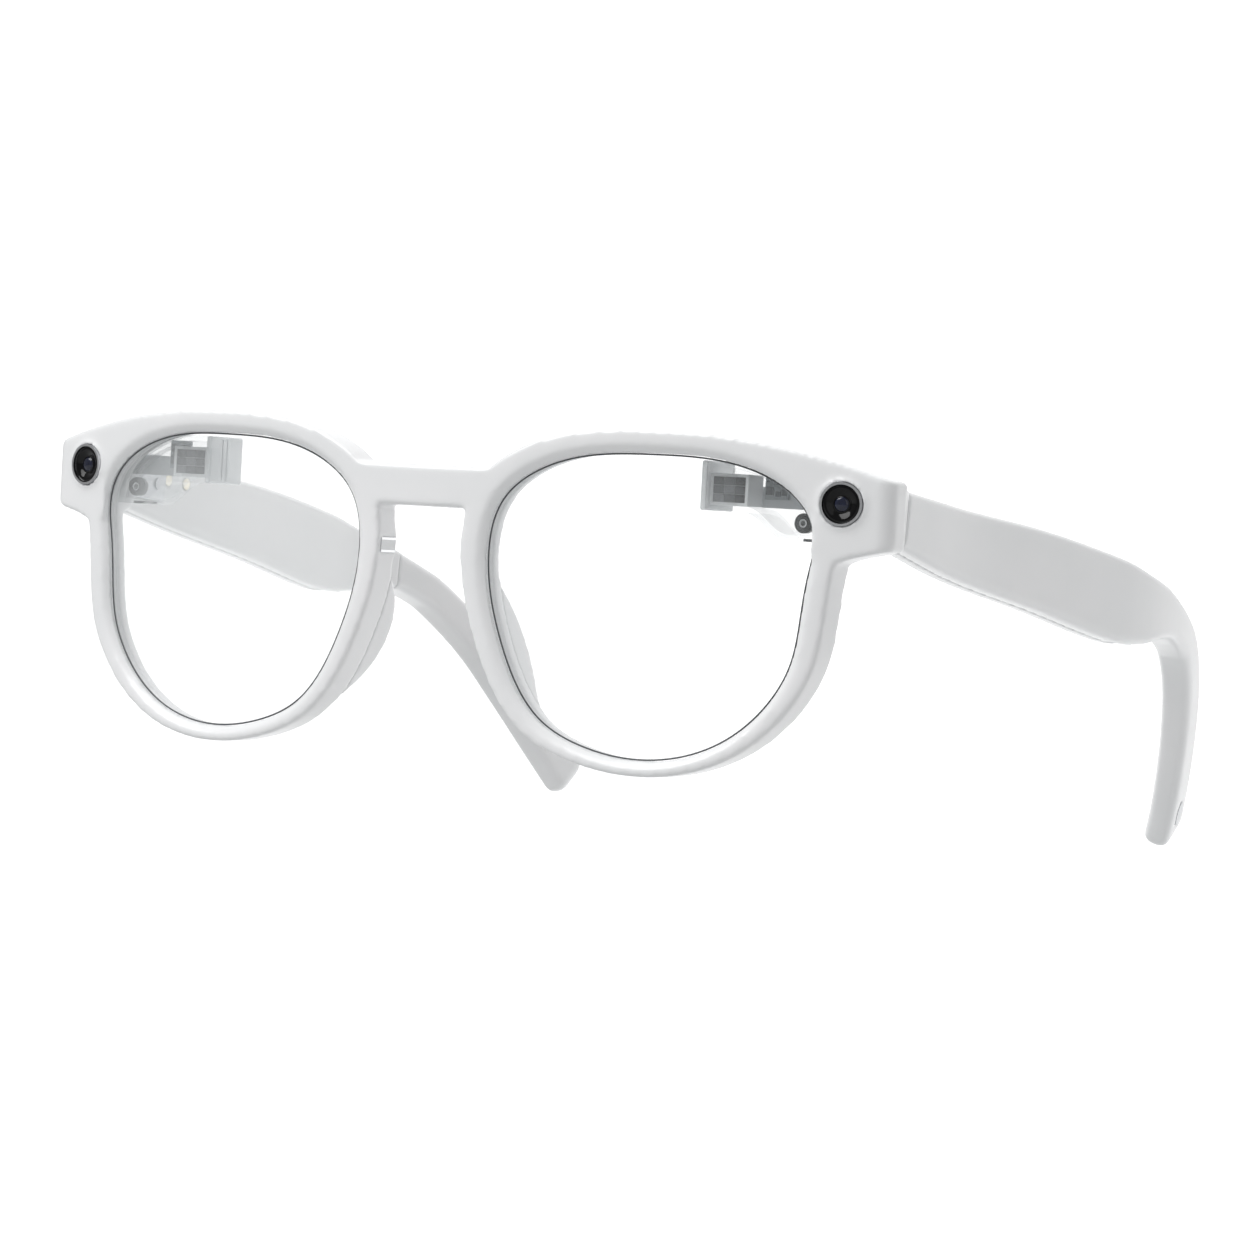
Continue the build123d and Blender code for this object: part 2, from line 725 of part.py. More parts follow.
def temple_pieces():
    """Both shells of a temple and what they hold, before the cuts of one side's controls."""
    skin = temple_skin()
    hollow = temple_space(shell_wall, cavity_start, cavity_end)
    inner_part = plan_sheet(-6, split_end, 0, 12)
    seam_cut = plan_sheet(-6, split_end + split_gap, -split_gap, 12)
    outer = skin - hollow - seam_cut - tip_wire(wire_radius + fit) - grille_slot()
    outer -= badge(fit, badge_thickness + fit)
    inner = (skin & inner_part) - hollow - grille_slot()
    for cut in hinge_cuts():
        outer -= cut
        inner -= cut
    room = shell_wall + inner_clearance
    board_start = cavity_start + 9.0
    board_end = board_start + board_length
    battery_start = board_end + 1.5
    battery_end = battery_start + battery_length
    board = temple_space(room, board_start, board_end) & plan_sheet(
        board_start - 5, board_end + 5, 0.4, 1.1)
    battery = temple_space(room, battery_start, battery_end)
    speaker = temple_space(room, battery_end + 1.5, cavity_end - 0.8)
    return {
        "temple_outer_shell": outer, "temple_inner_shell": inner, "main_board": board,
        "battery": battery, "speaker": speaker, "speaker_grille": speaker_grille(),
        "tip_wire": tip_wire(wire_radius), "tip_badge": badge(0, badge_thickness),
        "temple_leaf": temple_leaf(), "temple_screws": Compound(children=temple_screws()),
    }


def flipped(piece):
    return mirror(piece, Plane.YZ)


def save(name, shape):
    export_step(shape, f"parts/{name}.step")


def save_pair(name, shape):
    save(name + "_left", shape)
    save(name + "_right", flipped(shape))


def save_group(name, solids):
    save(name, Compound(children=solids + [flipped(solid) for solid in solids]))


def make_front():
    save("front_frame", front_frame())
    save_pair("lens", lens())
    save_pair("nose_pad", nose_pad())
    save_group("pad_clips", [tilt * clip_band(clip_height, clip_thickness)])
    for name, piece in camera_pieces(camera_spot()).items():
        save_pair(name, piece)
    for name, piece in display_pieces().items():
        save_pair(name, piece)
    save_group("sensor_ports", sensor_ports())
    save_pair("hinge_leaf", front_leaf())
    save_pair("hinge_pin", hinge_pin())
    save_group("hinge_screws", front_screws())


def make_temples():
    pieces = temple_pieces()
    outer = pieces.pop("temple_outer_shell")
    inner = pieces.pop("temple_inner_shell")
    save("temple_outer_shell_left", outer)
    save("temple_inner_shell_left", inner - switch_slot())
    save("power_switch", switch())
    inner -= button_well()
    for hole in contacts(fit):
        inner -= hole
    save("temple_outer_shell_right", flipped(outer - button_well()))
    save("temple_inner_shell_right", flipped(inner))
    save("capture_button", flipped(button()))
    save("button_dome", flipped(button_dome()))
    save("charge_contacts", Compound(children=[flipped(pad) for pad in contacts(0)]))
    for name, piece in pieces.items():
        save_pair(name, piece)


make_front()
make_temples()
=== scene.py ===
import json
import math

import bmesh
import bpy
from mathutils import Matrix, Vector
from mathutils.bvhtree import BVHTree


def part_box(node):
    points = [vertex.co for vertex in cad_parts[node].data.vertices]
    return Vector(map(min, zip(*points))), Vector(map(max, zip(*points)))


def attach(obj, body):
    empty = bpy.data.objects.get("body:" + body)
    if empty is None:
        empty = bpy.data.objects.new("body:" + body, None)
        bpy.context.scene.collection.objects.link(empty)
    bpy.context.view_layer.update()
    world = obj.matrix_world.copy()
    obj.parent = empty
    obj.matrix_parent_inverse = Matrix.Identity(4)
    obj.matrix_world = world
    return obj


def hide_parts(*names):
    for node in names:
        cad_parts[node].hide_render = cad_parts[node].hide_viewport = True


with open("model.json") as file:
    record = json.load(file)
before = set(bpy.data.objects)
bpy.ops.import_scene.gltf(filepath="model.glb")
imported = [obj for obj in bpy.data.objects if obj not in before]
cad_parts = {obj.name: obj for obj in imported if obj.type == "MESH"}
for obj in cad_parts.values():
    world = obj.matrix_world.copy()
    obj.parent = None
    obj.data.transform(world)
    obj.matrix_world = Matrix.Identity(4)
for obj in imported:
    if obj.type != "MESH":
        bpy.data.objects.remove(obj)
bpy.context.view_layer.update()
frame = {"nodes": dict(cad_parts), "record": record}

mm = 0.001
nodes = frame["nodes"]
bodyOf = {name: body for body, names in frame["record"]["behaviour"]["bodies"].items()
          for name in names}
frontLean = math.radians(5.2)  # as in the CAD frame
frontTilt = Matrix.Rotation(frontLean, 4, "X")
sides = {"left": 1, "right": -1}
plasticIor = 1.5
mixSpan = (0.3, 0.7)  # where a noise passes from its darker tone to its paler one


def linear(hexColour):
    channels = [int(hexColour[i:i + 2], 16) / 255 for i in (1, 3, 5)]
    return [c / 12.92 if c <= 0.04045 else ((c + 0.055) / 1.055) ** 2.4 for c in channels] + [1.0]


def addNode(tree, kind, values=None, links=None, **settings):
    node = tree.nodes.new(kind)
    for name, value in settings.items():
        setattr(node, name, value)
    for name, value in (values or {}).items():
        node.inputs[name].default_value = value
    for name, socket in (links or {}).items():
        tree.links.new(socket, node.inputs[name])
    return node


def newMaterial(name, values):
    material = bpy.data.materials.new(name)
    material.use_nodes = True
    shader = material.node_tree.nodes["Principled BSDF"]
    for key, value in values.items():
        shader.inputs[key].default_value = value
    return material, material.node_tree, shader


def rampBetween(tree, factor, low, high, start=0.0, end=1.0):
    ramp = addNode(tree, "ShaderNodeValToRGB", links={"Fac": factor})
    ramp.color_ramp.elements[0].color = low
    ramp.color_ramp.elements[0].position = start
    ramp.color_ramp.elements[1].color = high
    ramp.color_ramp.elements[1].position = end
    return ramp.outputs["Color"]


def surfaceNoise(tree, sizeMm, detail=3.0, stretch=None):
    # sizeMm is the real distance between bumps; stretch draws them out into lines
    place = addNode(tree, "ShaderNodeTexCoord").outputs["Object"]
    if stretch:
        place = addNode(tree, "ShaderNodeMapping", {"Scale": stretch},
                        {"Vector": place}).outputs["Vector"]
    return addNode(tree, "ShaderNodeTexNoise", {"Scale": 1 / (sizeMm * mm), "Detail": detail},
                   {"Vector": place}).outputs["Fac"]


def addBump(tree, shader, height, strength, depthMm):
    bump = addNode(tree, "ShaderNodeBump", {"Strength": strength, "Distance": depthMm * mm},
                   {"Height": height})
    tree.links.new(bump.outputs["Normal"], shader.inputs["Normal"])


def localBox(nodeName):
    # the node's corners with the front's lean taken out
    upright = frontTilt.inverted()
    points = [upright @ v.co for v in nodes[nodeName].data.vertices]
    low = Vector(min(p[i] for p in points) for i in range(3))
    high = Vector(max(p[i] for p in points) for i in range(3))
    return low, high


lacquer = {"pale": "#ebebec", "shade": "#e6e7e8", "toneMm": 18.0, "rough": 0.34,
           "coat": 0.25, "coatRough": 0.12, "peelMm": 0.7, "peelStrength": 0.06,
           "peelDepthMm": 0.02}


def lacqueredNylon():
    # moulded nylon under a clear lacquer: an even white with soft broad highlights,
    # and a trace of orange peel that breaks them up close to
    material, tree, shader = newMaterial(
        "lacquered_nylon", {"Roughness": lacquer["rough"], "IOR": plasticIor,
                            "Coat Weight": lacquer["coat"], "Coat Roughness": lacquer["coatRough"]})
    tone = surfaceNoise(tree, lacquer["toneMm"])
    colour = rampBetween(tree, tone, linear(lacquer["shade"]), linear(lacquer["pale"]), *mixSpan)
    tree.links.new(colour, shader.inputs["Base Color"])
    addBump(tree, shader, surfaceNoise(tree, lacquer["peelMm"]), lacquer["peelStrength"],
            lacquer["peelDepthMm"])
    return material


film = {"edgeBlend": 0.35, "rippleStrength": 0.02, "rippleDepthMm": 0.01}


def clearFilm(name, body, face, edge, rough, spotMm):
    # a clear moulding: face and edge are how solid it looks face on and along its skin
    material, tree, shader = newMaterial(
        name, {"Base Color": linear(body), "Roughness": rough, "IOR": plasticIor})
    facing = addNode(tree, "ShaderNodeLayerWeight", {"Blend": film["edgeBlend"]}).outputs["Facing"]
    span = addNode(tree, "ShaderNodeMapRange", {"To Min": face, "To Max": edge}, {"Value": facing})
    tree.links.new(span.outputs["Result"], shader.inputs["Alpha"])
    addBump(tree, shader, surfaceNoise(tree, spotMm), film["rippleStrength"], film["rippleDepthMm"])
    return material


grainRelief = {"strength": 0.15, "depthMm": 0.02}


def mouldedPlastic(name, dark, pale, rough, grainMm, gloss=0.5):
    # the tool's fine grain shows as a slight mottling and breaks the highlight up
    material, tree, shader = newMaterial(
        name, {"Roughness": rough, "IOR": plasticIor, "Specular IOR Level": gloss})
    grain = surfaceNoise(tree, grainMm)
    tree.links.new(rampBetween(tree, grain, linear(dark), linear(pale), *mixSpan),
                   shader.inputs["Base Color"])
    addBump(tree, shader, grain, grainRelief["strength"], grainRelief["depthMm"])
    return material


toolLines = {"stretch": (1.0, 0.08, 1.0), "detail": 2.0, "strength": 0.1, "depthMm": 0.01}


def polishedMetal(name, dark, pale, rough, lineMm):
    # fine lines left by the tool draw the highlights out along one direction
    material, tree, shader = newMaterial(name, {"Metallic": 1.0, "Roughness": rough})
    lines = surfaceNoise(tree, lineMm, toolLines["detail"], toolLines["stretch"])
    tree.links.new(rampBetween(tree, lines, linear(dark), linear(pale), *mixSpan),
                   shader.inputs["Base Color"])
    addBump(tree, shader, lines, toolLines["strength"], toolLines["depthMm"])
    return material


bandShape = {"lineMm": 0.35, "metal": "#f4f5f6", "body": "#e3e4e5", "rough": 0.25}


def edgedBand():
    # clip band painted like the frame, with its two long edges left bare: two bright thin lines
    material, tree, shader = newMaterial("painted_clip_band", {"Roughness": bandShape["rough"]})
    place = addNode(tree, "ShaderNodeTexCoord").outputs["Object"]
    upright = addNode(tree, "ShaderNodeMapping", {"Rotation": (-frontLean, 0, 0)},
                      {"Vector": place})
    height = addNode(tree, "ShaderNodeSeparateXYZ", links={"Vector": upright.outputs["Vector"]})
    low, high = localBox("pad_clips")
    centre, half = (low.z + high.z) / 2, (high.z - low.z) / 2
    away = addNode(tree, "ShaderNodeMath", {1: centre}, {0: height.outputs["Z"]},
                   operation="SUBTRACT")
    away = addNode(tree, "ShaderNodeMath", links={0: away.outputs[0]}, operation="ABSOLUTE")
    edge = addNode(tree, "ShaderNodeMath", {1: half - bandShape["lineMm"] * mm},
                   {0: away.outputs[0]}, operation="GREATER_THAN").outputs[0]
    tree.links.new(rampBetween(tree, edge, linear(bandShape["body"]), linear(bandShape["metal"])),
                   shader.inputs["Base Color"])
    tree.links.new(edge, shader.inputs["Metallic"])
    return material


materials = {
    "whiteShell": lacqueredNylon(),
    "clipBand": edgedBand(),
    # name, tint, solidity face on and edge on, roughness, distance between ripples in mm
    # polished lens sheet: all but unseen, with a grey line at its rim
    "lens": clearFilm("polished_polycarbonate", "#f4f7f8", 0.03, 0.55, 0.03, 5.0),
    # polished moulding: clear, with grey walls and sharp small highlights
    "housing": clearFilm("clear_acrylic", "#e4e8ea", 0.05, 0.45, 0.05, 2.0),
    # blasted moulding: milky, and what is behind it hardly shows
    "cap": clearFilm("frosted_acrylic", "#dfe2e4", 0.6, 0.9, 0.25, 0.6),
    # name, darker and paler tone, roughness, distance between grains in mm, gloss
    # ground and polished glass, printed black behind: a deep black with a weak sharp reflection
    "blackGlass": mouldedPlastic("black_hard_glass", "#020203", "#060607", 0.1, 1.5, 0.25),
    # polished glass with a coating: nearly black with a blue cast and one small bright spot
    "coatedGlass": mouldedPlastic("coated_lens_glass", "#10131f", "#1d2238", 0.04, 0.8),
    # moulded in a blasted tool: a dull dark grey
    "blackPlastic": mouldedPlastic("black_moulded_abs", "#18191b", "#232427", 0.4, 0.3),
    # smooth coated squares of the display: three flat greys that read as a pattern; the dark one
    # also colours the painted shade line at each lens edge
    "darkTileAndEdgeShade": mouldedPlastic("dark_tile_and_lens_edge_shade", "#46484b", "#505255", 0.35, 0.2),
    "blackTile": mouldedPlastic("black_display_tile", "#2b2c2e", "#363739", 0.35, 0.2),
    "greyTile": mouldedPlastic("grey_display_tile", "#6f7174", "#7d7f82", 0.35, 0.2),
    # pale satin moulding: a light frame round the dark squares
    "paleBorder": mouldedPlastic("pale_display_border", "#dfe2e4", "#e9ebec", 0.35, 0.3),
    # satin moulding: a mid grey strip behind the clear wall
    "tray": mouldedPlastic("satin_grey_tray", "#c2c6c9", "#cdd0d3", 0.4, 0.4),
    # printed solder mask: a cool flat grey
    "board": mouldedPlastic("solder_mask_board", "#8d9497", "#a1a7aa", 0.45, 0.5),
    # moulded resin: dull dark squares on the board
    "chip": mouldedPlastic("moulded_chip", "#3c3f42", "#4a4d50", 0.5, 0.1),
    # smooth moulded inset: a shade darker and glossier than the frame round it
    "badge": mouldedPlastic("satin_badge", "#cfd1d4", "#d9dbdd", 0.3, 0.3),
    # name, darker and paler tone, roughness, distance between tool lines in mm
    # turned and polished: a bright thin circle that mirrors the room
    "ring": polishedMetal("polished_steel_ring", "#d9dadd", "#f1f2f4", 0.12, 0.2),
    # brushed sheet and wire: a soft mid grey shine
    "steel": polishedMetal("brushed_steel", "#a9abae", "#c9cbce", 0.3, 0.15),
    # thin plate over nickel: a pale warm shine
    "gold": polishedMetal("pale_gold_plate", "#d6cdb6", "#e4dcc8", 0.22, 0.2),
    # rolled foil: a broad blurred shine with wide lines
    "foil": polishedMetal("foil_pouch", "#b5b7ba", "#cfd1d3", 0.35, 0.8),
}
print("materials ready")


def linkPiece(name, mesh, body, material):
    piece = bpy.data.objects.new(name, mesh)
    bpy.context.scene.collection.objects.link(piece)
    if material:
        mesh.materials.clear()
        mesh.materials.append(material)
    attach(piece, body)
    return piece


softening = {"voxelMm": 0.3, "firstRounds": 3, "rounds": 26, "strength": 0.5, "nearMm": 0.35,
             "farMm": 1.3, "faces": 80000}


def surfaceOf(nodeName):
    mesh = nodes[nodeName].data
    return BVHTree.FromPolygons([v.co for v in mesh.vertices], [p.vertices for p in mesh.polygons])


def shapedMesh(draft):
    # the draft's mesh with its modifiers applied; the draft itself is dropped
    graph = bpy.context.evaluated_depsgraph_get()
    mesh = bpy.data.meshes.new_from_object(draft.evaluated_get(graph))
    bpy.data.objects.remove(draft)
    return mesh


def wearMesh(mesh, rounds, sharpBeside=()):
    # relax the mesh, which rounds its corners over, but not beside the pieces named
    draft = bpy.data.objects.new("draft", mesh)
    bpy.context.scene.collection.objects.link(draft)
    if sharpBeside:
        near, far = softening["nearMm"] * mm, softening["farMm"] * mm
        surfaces = [surfaceOf(name) for name in sharpBeside]
        weights = draft.vertex_groups.new(name="open")
        for vertex in mesh.vertices:
            gaps = [surface.find_nearest(vertex.co, far)[3] for surface in surfaces]
            gap = min([g for g in gaps if g is not None] or [far])
            weights.add([vertex.index], max(0.0, min(1.0, (gap - near) / (far - near))), "REPLACE")
    smooth = draft.modifiers.new("smooth", "SMOOTH")
    smooth.iterations = rounds
    smooth.factor = softening["strength"]
    if sharpBeside:
        smooth.vertex_group = "open"
    return shapedMesh(draft)


def softened(nodeName, pieceName, material, sharpBeside):
    # the CAD shape with its open corners worn round, as moulding and lacquer leave them,
    # and crisp where another piece is let into it
    draft = bpy.data.objects.new("draft", nodes[nodeName].data.copy())
    bpy.context.scene.collection.objects.link(draft)
    remesh = draft.modifiers.new("remesh", "REMESH")
    remesh.mode = "VOXEL"
    remesh.voxel_size = softening["voxelMm"] * mm
    mesh = wearMesh(shapedMesh(draft), softening["firstRounds"])
    mesh = wearMesh(mesh, softening["rounds"], sharpBeside)
    if len(mesh.polygons) > softening["faces"]:
        draft = bpy.data.objects.new("draft", mesh)
        bpy.context.scene.collection.objects.link(draft)
        fewer = draft.modifiers.new("fewer", "DECIMATE")
        fewer.ratio = softening["faces"] / len(mesh.polygons)
        mesh = shapedMesh(draft)
    mesh.polygons.foreach_set("use_smooth", [True] * len(mesh.polygons))
    piece = linkPiece(pieceName, mesh, bodyOf[nodeName], material)
    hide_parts(nodeName)
    print(pieceName, len(mesh.polygons), "faces")


shellNames = [f"temple_{shell}_shell_{side}" for side in sides for shell in ("outer", "inner")]
besideFront = [f"{part}_{side}" for side in sides for part in (
    "lens", "camera_ring", "hinge_leaf", "hinge_pin", "nose_pad")] + ["pad_clips"] + shellNames
softened("front_frame", "front_frame_lacquered", materials["whiteShell"],
         besideFront)
for side in sides:
    controls = {"left": ["power_switch"], "right": ["capture_button", "charge_contacts"]}[side]
    fittings = ("temple_leaf", "tip_badge", "speaker_grille")
    beside = [f"{part}_{side}" for part in fittings] + controls
    outer, inner = f"temple_outer_shell_{side}", f"temple_inner_shell_{side}"
    for name, other in ((outer, inner), (inner, outer)):
        softened(name, f"{name}_lacquered", materials["whiteShell"],
                 beside + [other, "front_frame"])
    softened(f"nose_pad_{side}", f"nose_pad_{side}_lacquered", materials["whiteShell"],
             ["front_frame"])
print("white shells ready")


def addBox(build, low, high, materialIndex=0, bevel=0.0):
    made = bmesh.ops.create_cube(build, size=1.0)["verts"]
    for vertex in made:
        for axis in range(3):
            centre, size = (low[axis] + high[axis]) / 2, high[axis] - low[axis]
            vertex.co[axis] = centre + vertex.co[axis] * size
    faces = {face for vertex in made for face in vertex.link_faces}
    for face in faces:
        face.material_index = materialIndex
    if bevel:
        edges = list({edge for vertex in made for edge in vertex.link_edges})
        bmesh.ops.bevel(build, geom=edges, offset=bevel, segments=2, affect="EDGES", profile=0.5)


def lathe(profile, place, segments=64):
    # profile rows are radius, distance along the axis and material index
    build = bmesh.new()
    rings = []
    for radius, along, index in profile:
        if radius == 0:
            rings.append([build.verts.new(place @ Vector((0, 0, along)))])
            continue
        turns = [2 * math.pi * k / segments for k in range(segments)]
        rings.append([build.verts.new(place @ Vector(
            (radius * math.cos(a), radius * math.sin(a), along))) for a in turns])
    for row, (inner, outer) in enumerate(zip(rings, rings[1:])):
        for k in range(segments):
            after = (k + 1) % segments
            corners = [inner[k % len(inner)], outer[k % len(outer)], outer[after % len(outer)],
                       inner[after % len(inner)]]
            face = build.faces.new(list(dict.fromkeys(corners)))
            face.material_index = profile[row + 1][2]
            face.smooth = True
    bmesh.ops.recalc_face_normals(build, faces=build.faces)
    return build


def finishMesh(build, name, materialList):
    mesh = bpy.data.meshes.new(name)
    build.to_mesh(mesh)
    build.free()
    for material in materialList:
        mesh.materials.append(material)
    return mesh


def axisPlace(origin, direction):
    return Matrix.Translation(origin) @ direction.to_track_quat("Z", "Y").to_matrix().to_4x4()


def middle(nodeName):
    low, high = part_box(nodeName)
    return (Vector(low) + Vector(high)) / 2


# radii and distances along the axis; each drop is measured down from the glass's face
windowShape = {"radius": 2.75, "half": 0.45, "backShare": 0.99, "cornerDrop": 0.1, "corner": 0.12,
               "step": 1.95, "lipDrop": 0.02, "stepDrop": 0.14, "throat": 1.45, "throatLip": 0.1,
               "throatDrop": 0.16, "depth": 0.35, "lensRadius": 1.05, "lensDrop": 0.04,
               "lensRise": 0.3, "lensRings": 6}


def cameraWindow(side):
    # black cover glass with stepped rings down to a small domed lens
    centre = middle(f"camera_window_{side}")
    outward = (centre - middle(f"camera_board_{side}")).normalized()
    w = windowShape
    half, well, rings = w["half"], w["half"] - w["depth"], w["lensRings"]
    rows = [(0, -half, 0), (w["radius"] * w["backShare"], -half, 0),
            (w["radius"], half - w["cornerDrop"], 0), (w["radius"] - w["corner"], half, 0),
            (w["step"] + w["corner"], half - w["lipDrop"], 0), (w["step"], half - w["stepDrop"], 0),
            (w["throat"] + w["throatLip"], half - w["throatDrop"], 0), (w["throat"], well, 0),
            (w["lensRadius"], well - w["lensDrop"], 0)]
    for k in range(1, rings + 1):
        angle = math.pi / 2 * k / rings
        rows.append((w["lensRadius"] * math.cos(angle) if k < rings else 0,
                     well + w["lensRise"] * math.sin(angle), 1))
    rows = [(r * mm, a * mm, i) for r, a, i in rows]
    build = lathe(rows, axisPlace(centre, outward))
    mesh = finishMesh(build, f"camera_window_{side}",
                      [materials["blackGlass"], materials["coatedGlass"]])
    piece = linkPiece(f"camera_window_glass_{side}", mesh, "front", None)
    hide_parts(f"camera_window_{side}")


# shares of the disc's radius, and of half its thickness
sensorShape = {"back": 0.98, "corner": 0.94, "shoulder": 0.8, "ringOuter": 0.42, "ringLip": 0.40,
               "ringInner": 0.27, "hole": 0.25, "ringHeight": 0.94, "segments": 40}


def eyeSensor(side):
    # dark disc with a pale ring round a dark middle
    low, high = localBox(f"eye_sensor_{side}")
    centre = frontTilt @ ((low + high) / 2)
    outward = frontTilt.to_3x3() @ Vector((0, -1, 0))
    radius, half = (high.x - low.x) / 2, (high.y - low.y) / 2
    s = sensorShape
    ring, shoulder = half * s["ringHeight"], half * s["shoulder"]
    rows = [(0, -half, 0), (radius * s["back"], -half, 0), (radius, shoulder, 0),
            (radius * s["corner"], half, 0), (radius * s["ringOuter"], half, 0),
            (radius * s["ringLip"], ring, 1), (radius * s["ringInner"], ring, 1),
            (radius * s["hole"], shoulder, 0), (0, shoulder, 0)]
    build = lathe(rows, axisPlace(centre, outward), s["segments"])
    mesh = finishMesh(build, f"eye_sensor_{side}",
                      [materials["blackGlass"], materials["paleBorder"]])
    piece = linkPiece(f"eye_sensor_disc_{side}", mesh, "front", None)
    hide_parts(f"eye_sensor_{side}")


displayShape = {"borderMm": 0.45, "recessMm": 0.12, "tiles": 3, "jointMm": 0.05, "bevelMm": 0.1,
                "barRootMm": 0.05, "tileRiseMm": 0.06, "tileRootMm": 0.02}
tileTones = (3, 1, 2, 1, 3, 1, 2, 1, 2)  # material index of each tile, from the low inner corner


def displayEngine(side):
    # whitish block whose front holds a window of small square tiles
    low, high = localBox(f"display_engine_{side}")
    d = {key: value * mm for key, value in displayShape.items() if key.endswith("Mm")}
    count = displayShape["tiles"]
    build = bmesh.new()
    face = low.y + d["recessMm"]
    addBox(build, (low.x, face, low.z), high, 0, d["bevelMm"])
    border = d["borderMm"]
    bars = [((low.x, low.z), (low.x + border, high.z)),
            ((high.x - border, low.z), (high.x, high.z)),
            ((low.x + border, low.z), (high.x - border, low.z + border)),
            ((low.x + border, high.z - border), (high.x - border, high.z))]
    for (x0, z0), (x1, z1) in bars:
        addBox(build, (x0, low.y, z0), (x1, face + d["barRootMm"], z1))
    wide = (high.x - low.x - 2 * border) / count
    tall = (high.z - low.z - 2 * border) / count
    for column in range(count):
        for row in range(count):
            x0 = low.x + border + column * wide + d["jointMm"] / 2
            z0 = low.z + border + row * tall + d["jointMm"] / 2
            addBox(build, (x0, face - d["tileRiseMm"], z0),
                   (x0 + wide - d["jointMm"], face + d["tileRootMm"], z0 + tall - d["jointMm"]),
                   tileTones[(column * count + row) % len(tileTones)])
    build.transform(frontTilt)
    finishKeys = ("paleBorder", "darkTileAndEdgeShade", "blackTile", "greyTile")
    mesh = finishMesh(build, f"display_engine_{side}", [materials[key] for key in finishKeys])
    piece = linkPiece(f"display_engine_block_{side}", mesh, "front", None)
    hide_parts(f"display_engine_{side}")


# each chip's place and size across and up the board, as shares of the board
chipSpots = [(0.08, 0.15, 0.3, 0.3), (0.48, 0.1, 0.2, 0.2), (0.74, 0.14, 0.18, 0.28),
             (0.1, 0.58, 0.2, 0.3), (0.4, 0.5, 0.34, 0.36), (0.8, 0.55, 0.14, 0.3)]
boardShape = {"plateMm": 0.4, "plateBevelMm": 0.05, "chipMm": 0.35, "chipBase": 0.6,
              "chipRootMm": 0.38, "chipBevelMm": 0.03}


def displayBoard(side):
    # pale board carrying small rectangular chips on its front
    low, high = localBox(f"display_board_{side}")
    size = high - low
    build = bmesh.new()
    b = {key: value * mm for key, value in boardShape.items() if key.endswith("Mm")}
    plate = high.y - b["plateMm"]
    addBox(build, (low.x, plate, low.z), high, 0, b["plateBevelMm"])
    for across, up, wide, tall in chipSpots:
        near = plate - b["chipMm"] * (boardShape["chipBase"] + wide)  # wide chips stand taller
        start = (low.x + across * size.x, near, low.z + up * size.z)
        end = (low.x + (across + wide) * size.x, high.y - b["chipRootMm"],
               low.z + (up + tall) * size.z)
        addBox(build, start, end, 1, b["chipBevelMm"])
    build.transform(frontTilt)
    mesh = finishMesh(build, f"display_board_{side}", [materials["board"], materials["chip"]])
    piece = linkPiece(f"display_board_chips_{side}", mesh, "front", None)
    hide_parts(f"display_board_{side}")


capShape = {"bevelMm": 0.3, "ribPlaces": (0.36, 0.5), "ribRiseMm": 0.2, "ribWidthMm": 0.12,
            "ribInsetMm": 0.5}


def endCap(side):
    # moulded cap with rounded edges and two fine ribs down its face
    low, high = localBox(f"display_end_cap_{side}")
    build = bmesh.new()
    addBox(build, low, high, 0, capShape["bevelMm"] * mm)
    inner = low.x if sides[side] > 0 else high.x
    acrossRib = sorted((inner, inner + sides[side] * capShape["ribRiseMm"] * mm))
    inset = capShape["ribInsetMm"] * mm
    for share in capShape["ribPlaces"]:
        rib = low.y + (high.y - low.y) * share
        addBox(build, (acrossRib[0], rib, low.z + inset),
               (acrossRib[1], rib + capShape["ribWidthMm"] * mm, high.z - inset), 1)
    build.transform(frontTilt)
    mesh = finishMesh(build, f"display_end_cap_{side}", [materials["cap"], materials["tray"]])
    piece = linkPiece(f"display_end_cap_ribbed_{side}", mesh, "front", None)
    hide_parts(f"display_end_cap_{side}")


# radius and inset place the painted shade tube; sharp is the turn between two faces, in radians,
# that counts as an edge of the lens
edgeLine = {"radiusMm": 0.13, "insetMm": 0.75, "sharp": 0.6, "weldDistance": 1e-6}


